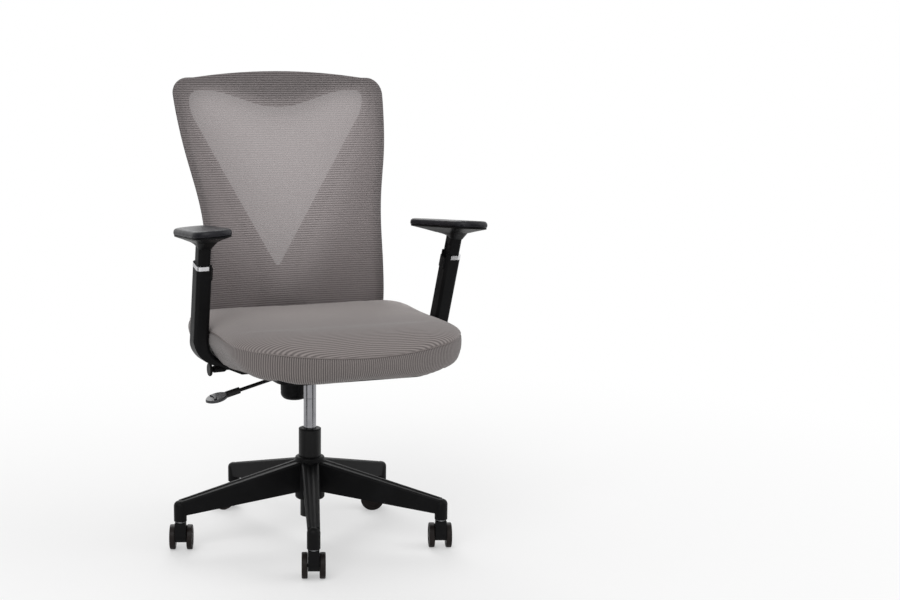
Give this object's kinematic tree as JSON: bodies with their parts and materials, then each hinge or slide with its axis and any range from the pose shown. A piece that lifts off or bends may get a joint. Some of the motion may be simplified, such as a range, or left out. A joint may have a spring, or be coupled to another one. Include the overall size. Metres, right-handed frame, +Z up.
{
  "type": "mesh task chair",
  "caption": "Swivel office chair with a mesh back on a Y-shaped rear spine, padded seat, height-adjustable arms, tilt mechanism and twin-wheel casters.",
  "frame": {"origin": "point of the floor under the axis of the gas column", "axes": "+Z up; the sitter faces -Y; +X is the sitter's left"},
  "size_m": [0.6516, 0.6791, 1.038],
  "materials": {
    "base_plastic": "fine satin grain",
    "black_plastic": "satin",
    "arm_pad_skin": "soft satin",
    "black_steel": "powder coat",
    "bright_steel": "polished",
    "plain_steel": "zinc plated",
    "paddle_plastic": "glossy",
    "bush_plastic": "low friction",
    "caster_wheel": "satin",
    "seat_fabric": "knitted stripes",
    "back_mesh": "woven mesh"
  },
  "bodies": {
    "base": {"star_base": "base_plastic", "stem_sleeves": "bush_plastic", "column_tube": "black_steel", "guide_bush": "bush_plastic", "thrust_bearing": "plain_steel"},
    "column_rod": {"piston_rod": "plain_steel", "rod_clip": "black_steel"},
    "seat": {"gas_cylinder": "bright_steel", "tilt_housing": "black_steel", "back_pivot_pin": "plain_steel", "tension_spring": "plain_steel", "seat_pan": "black_plastic", "seat_cushion": "seat_fabric", "seat_bolts": "plain_steel", "arm_upright_left": "black_plastic", "arm_upright_right": "black_plastic", "trim_band_left": "bright_steel", "trim_band_right": "bright_steel"},
    "back": {"back_bracket": "black_steel", "back_spine": "black_plastic", "rim_frame": "black_plastic", "front_mesh": "back_mesh", "rear_mesh": "back_mesh", "back_screws": "plain_steel"},
    "tension": {"tension_knob": "black_plastic", "tension_bolt": "plain_steel"},
    "height_lever": {"height_lever": "black_steel", "height_paddle": "paddle_plastic"},
    "valve": {"valve_pin": "plain_steel"},
    "tilt_lock": {"tilt_lock_rod": "black_steel", "tilt_lock_knob": "black_plastic"},
    "arm_left": {"arm_post_left": "black_plastic", "arm_pad_left": "arm_pad_skin"},
    "arm_right": {"arm_post_right": "black_plastic", "arm_pad_right": "arm_pad_skin"},
    "button_left": {"arm_button_left": "black_plastic"},
    "button_right": {"arm_button_right": "black_plastic"},
    "caster_front": {"caster_front_housing": "base_plastic", "caster_front_pins": "plain_steel"},
    "caster_front_wheel_left": {"caster_front_wheel_left": "caster_wheel"},
    "caster_front_wheel_right": {"caster_front_wheel_right": "caster_wheel"},
    "caster_left_front": {"caster_left_front_housing": "base_plastic", "caster_left_front_pins": "plain_steel"},
    "caster_left_front_wheel_left": {"caster_left_front_wheel_left": "caster_wheel"},
    "caster_left_front_wheel_right": {"caster_left_front_wheel_right": "caster_wheel"},
    "caster_left_rear": {"caster_left_rear_housing": "base_plastic", "caster_left_rear_pins": "plain_steel"},
    "caster_left_rear_wheel_left": {"caster_left_rear_wheel_left": "caster_wheel"},
    "caster_left_rear_wheel_right": {"caster_left_rear_wheel_right": "caster_wheel"},
    "caster_right_rear": {"caster_right_rear_housing": "base_plastic", "caster_right_rear_pins": "plain_steel"},
    "caster_right_rear_wheel_left": {"caster_right_rear_wheel_left": "caster_wheel"},
    "caster_right_rear_wheel_right": {"caster_right_rear_wheel_right": "caster_wheel"},
    "caster_right_front": {"caster_right_front_housing": "base_plastic", "caster_right_front_pins": "plain_steel"},
    "caster_right_front_wheel_left": {"caster_right_front_wheel_left": "caster_wheel"},
    "caster_right_front_wheel_right": {"caster_right_front_wheel_right": "caster_wheel"}
  },
  "joints": [
    {"name": "seat_swivel", "type": "hinge", "parent": "base", "child": "column_rod", "pos_m": [0, 0, 0.2], "axis": [0, 0, 1], "continuous": true},
    {"name": "seat_height", "type": "slide", "parent": "column_rod", "child": "seat", "axis": [0, 0, 1], "range_m": [-0.09, 0.01]},
    {"name": "back_recline", "type": "hinge", "parent": "seat", "child": "back", "pos_m": [0, 0.06, 0.391], "axis": [-1, 0, 0], "range_deg": [0, 15], "stiffness_Nm_per_rad": 80, "springref_deg": -20.05},
    {"name": "tension_turn", "type": "hinge", "parent": "seat", "child": "tension", "pos_m": [0, 0.1, 0.34], "axis": [0, 0, 1], "range_deg": [-360, 360]},
    {"name": "height_lever_pull", "type": "hinge", "parent": "seat", "child": "height_lever", "pos_m": [-0.022, -0.026, 0.397], "axis": [0, 1, 0], "range_deg": [0, 8], "stiffness_Nm_per_rad": 3, "springref_deg": -14.32},
    {"name": "valve_press", "type": "slide", "parent": "seat", "child": "valve", "axis": [0, 0, 1], "range_m": [-0.0032, 0]},
    {"name": "tilt_lock_pull", "type": "slide", "parent": "seat", "child": "tilt_lock", "axis": [-1, 0, 0], "range_m": [0, 0.012]},
    {"name": "arm_height_left", "type": "slide", "parent": "seat", "child": "arm_left", "axis": [0.0334, -0.2924, 0.9557], "range_m": [-0.028, 0.035]},
    {"name": "button_press_left", "type": "slide", "parent": "seat", "child": "button_left", "axis": [0.9994, 0, -0.0349], "range_m": [0, 0.0025], "stiffness_N_per_m": 800, "springref_m": -0.002},
    {"name": "arm_height_right", "type": "slide", "parent": "seat", "child": "arm_right", "axis": [-0.0334, -0.2924, 0.9557], "range_m": [-0.028, 0.035]},
    {"name": "button_press_right", "type": "slide", "parent": "seat", "child": "button_right", "axis": [-0.9994, 0, -0.0349], "range_m": [0, 0.0025], "stiffness_N_per_m": 800, "springref_m": -0.002},
    {"name": "caster_front_swivel", "type": "hinge", "parent": "base", "child": "caster_front", "pos_m": [-0.09965, -0.28297, 0.08], "axis": [0, 0, 1], "continuous": true},
    {"name": "caster_front_roll_left", "type": "hinge", "parent": "caster_front", "child": "caster_front_wheel_left", "pos_m": [-0.09251, -0.26428, 0.0275], "axis": [0.9342, -0.3567, 0], "continuous": true},
    {"name": "caster_front_roll_right", "type": "hinge", "parent": "caster_front", "child": "caster_front_wheel_right", "pos_m": [-0.09251, -0.26428, 0.0275], "axis": [0.9342, -0.3567, 0], "continuous": true},
    {"name": "caster_left_front_swivel", "type": "hinge", "parent": "base", "child": "caster_left_front", "pos_m": [0.23832, -0.18221, 0.08], "axis": [0, 0, 1], "continuous": true},
    {"name": "caster_left_front_roll_left", "type": "hinge", "parent": "caster_left_front", "child": "caster_left_front_wheel_left", "pos_m": [0.24546, -0.16353, 0.0275], "axis": [0.9342, -0.3567, 0], "continuous": true},
    {"name": "caster_left_front_roll_right", "type": "hinge", "parent": "caster_left_front", "child": "caster_left_front_wheel_right", "pos_m": [0.24546, -0.16353, 0.0275], "axis": [0.9342, -0.3567, 0], "continuous": true},
    {"name": "caster_left_rear_swivel", "type": "hinge", "parent": "base", "child": "caster_left_rear", "pos_m": [0.24694, 0.17035, 0.08], "axis": [0, 0, 1], "continuous": true},
    {"name": "caster_left_rear_roll_left", "type": "hinge", "parent": "caster_left_rear", "child": "caster_left_rear_wheel_left", "pos_m": [0.22826, 0.17749, 0.0275], "axis": [0.3567, 0.9342, 0], "continuous": true},
    {"name": "caster_left_rear_roll_right", "type": "hinge", "parent": "caster_left_rear", "child": "caster_left_rear_wheel_right", "pos_m": [0.22826, 0.17749, 0.0275], "axis": [0.3567, 0.9342, 0], "continuous": true},
    {"name": "caster_right_rear_swivel", "type": "hinge", "parent": "base", "child": "caster_right_rear", "pos_m": [-0.08571, 0.2875, 0.08], "axis": [0, 0, 1], "continuous": true},
    {"name": "caster_right_rear_roll_left", "type": "hinge", "parent": "caster_right_rear", "child": "caster_right_rear_wheel_left", "pos_m": [-0.09832, 0.30302, 0.0275], "axis": [0.776, 0.6307, 0], "continuous": true},
    {"name": "caster_right_rear_roll_right", "type": "hinge", "parent": "caster_right_rear", "child": "caster_right_rear_wheel_right", "pos_m": [-0.09832, 0.30302, 0.0275], "axis": [0.776, 0.6307, 0], "continuous": true},
    {"name": "caster_right_front_swivel", "type": "hinge", "parent": "base", "child": "caster_right_front", "pos_m": [-0.29991, 0.00733, 0.08], "axis": [0, 0, 1], "continuous": true},
    {"name": "caster_right_front_roll_left", "type": "hinge", "parent": "caster_right_front", "child": "caster_right_front_wheel_left", "pos_m": [-0.29278, 0.02601, 0.0275], "axis": [0.9342, -0.3567, 0], "continuous": true},
    {"name": "caster_right_front_roll_right", "type": "hinge", "parent": "caster_right_front", "child": "caster_right_front_wheel_right", "pos_m": [-0.29278, 0.02601, 0.0275], "axis": [0.9342, -0.3567, 0], "continuous": true}
  ],
  "couplings": [
    {"joint": "valve_press", "follows": "height_lever_pull", "m_per_rad": -0.022}
  ]
}
